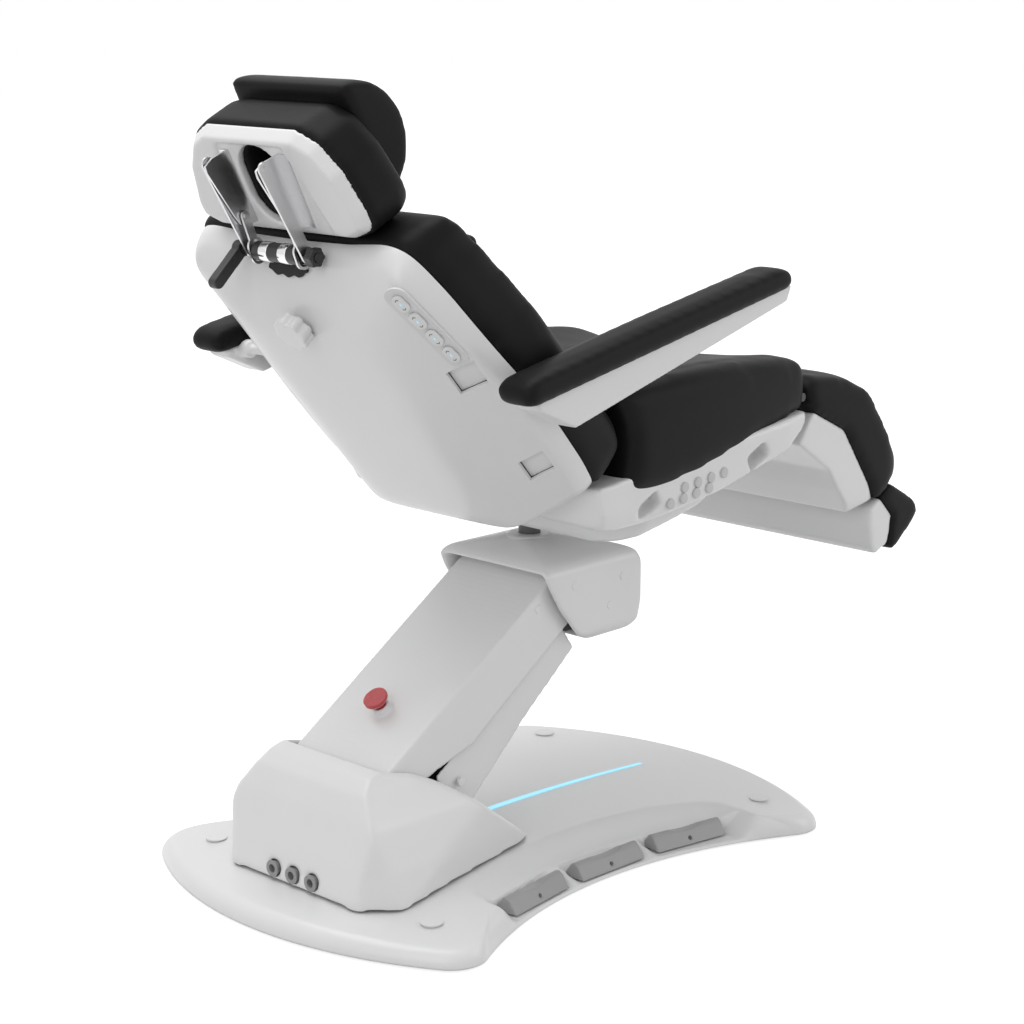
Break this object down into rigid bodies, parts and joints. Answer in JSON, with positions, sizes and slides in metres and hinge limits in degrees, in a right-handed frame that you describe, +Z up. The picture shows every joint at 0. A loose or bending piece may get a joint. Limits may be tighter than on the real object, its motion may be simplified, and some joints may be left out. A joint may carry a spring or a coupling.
{
  "type": "medical spa chair",
  "caption": "Reclining treatment chair on a motorised lifting column, with foot pedals, folding armrests, adjustable headrest and extending footrest.",
  "frame": {"origin": "on the floor under the middle of the base, at the middle foot's underside", "axes": "+X towards the foot end, +Y to the sitter's left, +Z up"},
  "size_m": [1.307, 0.75, 1.2471],
  "materials": {
    "white_shell": "satin white moulded shell",
    "black_upholstery": "smooth black upholstery leatherette",
    "pedal_grey": "fine-textured mid grey",
    "frame_steel": "dark grey powder coat",
    "link_steel": "brushed and deburred",
    "bright_rod": "polished",
    "tube_dark": "satin black tube with bright rings",
    "stop_red": "glossy red",
    "light_blue": "emissive lit diffuser",
    "socket_grey": "moulded socket inserts",
    "key_grey": "satin keys with light blue marks",
    "knob_black": "fine-textured black",
    "foot_rubber": "dull"
  },
  "bodies": {
    "base": {"base_cover": "white_shell", "base_frame": "frame_steel", "levelling_feet": "foot_rubber", "access_caps": "white_shell", "light_strip": "light_blue", "column_boot": "white_shell", "rear_sockets": "socket_grey", "pedal_pivots": "frame_steel"},
    "pedal_rear": {"pedal_rear": "pedal_grey"},
    "pedal_middle": {"pedal_middle": "pedal_grey"},
    "pedal_front": {"pedal_front": "pedal_grey"},
    "arm": {"arm_cover": "white_shell", "arm_frame": "frame_steel"},
    "stop": {"stop_button": "stop_red"},
    "link": {"link_cover": "white_shell", "link_bars": "frame_steel"},
    "lift_drive": {"lift_actuator": "frame_steel"},
    "lift_rod": {"lift_rod": "bright_rod"},
    "head": {"head_shell": "white_shell", "head_bracket": "frame_steel"},
    "swivel": {"swivel_frame": "frame_steel"},
    "seat": {"seat_shell": "white_shell", "under_seat_cover": "white_shell", "seat_frame": "frame_steel", "seat_cushion": "black_upholstery"},
    "tilt_drive": {"tilt_actuator": "frame_steel"},
    "tilt_rod": {"tilt_rod": "bright_rod"},
    "back": {"back_shell": "white_shell", "back_frame": "frame_steel", "back_cushion": "black_upholstery", "key_panel": "key_grey"},
    "back_drive": {"back_actuator": "frame_steel"},
    "back_rod": {"back_rod": "bright_rod"},
    "leg": {"leg_frame": "frame_steel", "calf_shell": "white_shell", "calf_cushion": "black_upholstery"},
    "leg_drive": {"leg_actuator": "frame_steel"},
    "leg_rod": {"leg_rod": "bright_rod"},
    "foot": {"foot_rails": "link_steel", "foot_shell": "white_shell", "foot_cushion": "black_upholstery"},
    "armrest_right": {"armrest_right_shell": "white_shell", "armrest_right_pad": "black_upholstery"},
    "armrest_left": {"armrest_left_shell": "white_shell", "armrest_left_pad": "black_upholstery"},
    "neck": {"headrest_post": "link_steel", "cross_tube": "tube_dark"},
    "lock_knob": {"lock_knob": "white_shell"},
    "lock_lever": {"lock_lever": "knob_black"},
    "tension_knob": {"tension_knob": "knob_black"},
    "long_links": {"long_links": "link_steel"},
    "headrest": {"headrest_brackets": "link_steel", "headrest_shell": "white_shell", "headrest_cushion": "black_upholstery", "head_pillow": "black_upholstery"},
    "short_links": {"short_links": "link_steel"},
    "rocker_key_1": {"rocker_key_1": "key_grey"},
    "rocker_key_2": {"rocker_key_2": "key_grey"},
    "rocker_key_3": {"rocker_key_3": "key_grey"},
    "rocker_key_4": {"rocker_key_4": "key_grey"}
  },
  "joints": [
    {"name": "arm_lift", "type": "hinge", "parent": "base", "child": "arm", "pos_m": [-0.29, 0, 0.165], "axis": [0, -1, 0], "range_deg": [-16, 22.5]},
    {"name": "link_lift", "type": "hinge", "parent": "base", "child": "link", "pos_m": [-0.26, 0, 0.119], "axis": [0, -1, 0], "range_deg": [-16, 22.5]},
    {"name": "head_level", "type": "hinge", "parent": "arm", "child": "head", "pos_m": [0.06007, 0, 0.4147], "axis": [0, -1, 0], "range_deg": [-22.5, 16]},
    {"name": "lift_drive_turn", "type": "hinge", "parent": "base", "child": "lift_drive", "pos_m": [-0.26, 0, 0.119], "axis": [0, -1, 0], "range_deg": [-24, 24]},
    {"name": "lift_rod_travel", "type": "slide", "parent": "lift_drive", "child": "lift_rod", "axis": [0.7345, 0, 0.6786], "range_m": [-0.03, 0.03]},
    {"name": "stop_press", "type": "slide", "parent": "arm", "child": "stop", "axis": [0.5807, 0, -0.8141], "range_m": [0, 0.005], "stiffness_N_per_m": 800},
    {"name": "pedal_rear_rock", "type": "hinge", "parent": "base", "child": "pedal_rear", "pos_m": [-0.15918, -0.2403, 0.02], "axis": [-0.1633, 0.9866, 0], "range_deg": [-3, 3], "stiffness_Nm_per_rad": 8},
    {"name": "pedal_middle_rock", "type": "hinge", "parent": "base", "child": "pedal_middle", "pos_m": [0.019, -0.2275, 0.02], "axis": [0, 1, 0], "range_deg": [-3, 3], "stiffness_Nm_per_rad": 8},
    {"name": "pedal_front_rock", "type": "hinge", "parent": "base", "child": "pedal_front", "pos_m": [0.19717, -0.2403, 0.02], "axis": [0.1633, 0.9866, 0], "range_deg": [-3, 3], "stiffness_Nm_per_rad": 8},
    {"name": "seat_swivel", "type": "hinge", "parent": "head", "child": "swivel", "pos_m": [0.082, 0, 0.5], "axis": [0, 0, 1], "range_deg": [-90, 90]},
    {"name": "seat_tilt", "type": "hinge", "parent": "swivel", "child": "seat", "pos_m": [0.082, 0, 0.6], "axis": [0, -1, 0], "range_deg": [-12, 8]},
    {"name": "tilt_drive_turn", "type": "hinge", "parent": "swivel", "child": "tilt_drive", "pos_m": [0.095, -0.07, 0.548], "axis": [0, -1, 0], "range_deg": [-13, 13]},
    {"name": "tilt_rod_travel", "type": "slide", "parent": "tilt_drive", "child": "tilt_rod", "axis": [0.9156, 0, 0.402], "range_m": [-0.02, 0.02]},
    {"name": "back_recline", "type": "hinge", "parent": "seat", "child": "back", "pos_m": [-0.10369, 0, 0.69176], "axis": [0, -1, 0], "range_deg": [-12, 44]},
    {"name": "back_drive_turn", "type": "hinge", "parent": "seat", "child": "back_drive", "pos_m": [0.235, 0.014, 0.617], "axis": [0, -1, 0], "range_deg": [-6, 6]},
    {"name": "back_rod_travel", "type": "slide", "parent": "back_drive", "child": "back_rod", "axis": [-0.9989, 0, -0.0461], "range_m": [-0.08, 0.08]},
    {"name": "leg_lift", "type": "hinge", "parent": "seat", "child": "leg", "pos_m": [0.463, 0, 0.713], "axis": [0, -1, 0], "range_deg": [-15, 50]},
    {"name": "leg_drive_turn", "type": "hinge", "parent": "seat", "child": "leg_drive", "pos_m": [0.235, -0.014, 0.617], "axis": [0, -1, 0], "range_deg": [-6, 6]},
    {"name": "leg_rod_travel", "type": "slide", "parent": "leg_drive", "child": "leg_rod", "axis": [0.9787, 0, 0.2054], "range_m": [-0.05, 0.05]},
    {"name": "foot_travel", "type": "slide", "parent": "leg", "child": "foot", "axis": [0.5878, 0, -0.809], "range_m": [0, 0.1]},
    {"name": "armrest_right_fold", "type": "hinge", "parent": "back", "child": "armrest_right", "pos_m": [-0.24499, -0.343, 0.81195], "axis": [0, -1, 0], "range_deg": [0, 95]},
    {"name": "armrest_left_fold", "type": "hinge", "parent": "back", "child": "armrest_left", "pos_m": [-0.24499, 0.343, 0.81195], "axis": [0, -1, 0], "range_deg": [0, 95]},
    {"name": "post_travel", "type": "slide", "parent": "back", "child": "neck", "axis": [-0.6613, 0, 0.7501], "range_m": [0, 0.08]},
    {"name": "lock_knob_turn", "type": "hinge", "parent": "back", "child": "lock_knob", "pos_m": [-0.3345, 0, 0.95354], "axis": [-0.7501, 0, -0.6613], "range_deg": [0, 180]},
    {"name": "lock_lever_turn", "type": "hinge", "parent": "neck", "child": "lock_lever", "pos_m": [-0.432, 0.086, 1.004], "axis": [0, -1, 0], "range_deg": [-40, 30]},
    {"name": "tension_knob_turn", "type": "hinge", "parent": "neck", "child": "tension_knob", "pos_m": [-0.432, -0.076, 1.004], "axis": [0, -1, 0], "range_deg": [-180, 180]},
    {"name": "neck_swing", "type": "hinge", "parent": "neck", "child": "long_links", "pos_m": [-0.432, 0, 1.004], "axis": [0, -1, 0], "range_deg": [0, 11]},
    {"name": "head_tilt", "type": "hinge", "parent": "long_links", "child": "headrest", "pos_m": [-0.50803, 0, 1.13089], "axis": [0, -1, 0], "range_deg": [0, 12]},
    {"name": "short_link_turn", "type": "hinge", "parent": "headrest", "child": "short_links", "pos_m": [-0.45199, 0, 1.05495], "axis": [0, -1, 0], "range_deg": [-29, 1]},
    {"name": "rocker_key_1_rock", "type": "hinge", "parent": "back", "child": "rocker_key_1", "pos_m": [-0.32582, -0.24295, 0.87261], "axis": [-0.2286, 0.8753, -0.4262], "range_deg": [-3, 3], "stiffness_Nm_per_rad": 0.5},
    {"name": "rocker_key_2_rock", "type": "hinge", "parent": "back", "child": "rocker_key_2", "pos_m": [-0.35244, -0.23733, 0.89842], "axis": [-0.2286, 0.8753, -0.4262], "range_deg": [-3, 3], "stiffness_Nm_per_rad": 0.5},
    {"name": "rocker_key_3_rock", "type": "hinge", "parent": "back", "child": "rocker_key_3", "pos_m": [-0.37907, -0.23172, 0.92422], "axis": [-0.2286, 0.8753, -0.4262], "range_deg": [-3, 3], "stiffness_Nm_per_rad": 0.5},
    {"name": "rocker_key_4_rock", "type": "hinge", "parent": "back", "child": "rocker_key_4", "pos_m": [-0.40569, -0.22611, 0.95003], "axis": [-0.2286, 0.8753, -0.4262], "range_deg": [-3, 3], "stiffness_Nm_per_rad": 0.5}
  ],
  "couplings": [
    {"joint": "link_lift", "follows": "arm_lift", "ratio": 1},
    {"joint": "head_level", "follows": "arm_lift", "ratio": -1},
    {"joint": "lift_drive_turn", "follows": "arm_lift", "ratio": 0.9808},
    {"joint": "lift_rod_travel", "follows": "arm_lift", "m_per_rad": 0.05207},
    {"joint": "tilt_drive_turn", "follows": "seat_tilt", "ratio": 0.9675},
    {"joint": "tilt_rod_travel", "follows": "seat_tilt", "m_per_rad": 0.0531},
    {"joint": "back_drive_turn", "follows": "back_recline", "ratio": -0.0127},
    {"joint": "back_rod_travel", "follows": "back_recline", "m_per_rad": -0.08726},
    {"joint": "leg_drive_turn", "follows": "leg_lift", "ratio": 0.0725},
    {"joint": "leg_rod_travel", "follows": "leg_lift", "m_per_rad": 0.04416},
    {"joint": "short_link_turn", "follows": "head_tilt", "ratio": -2.38}
  ]
}
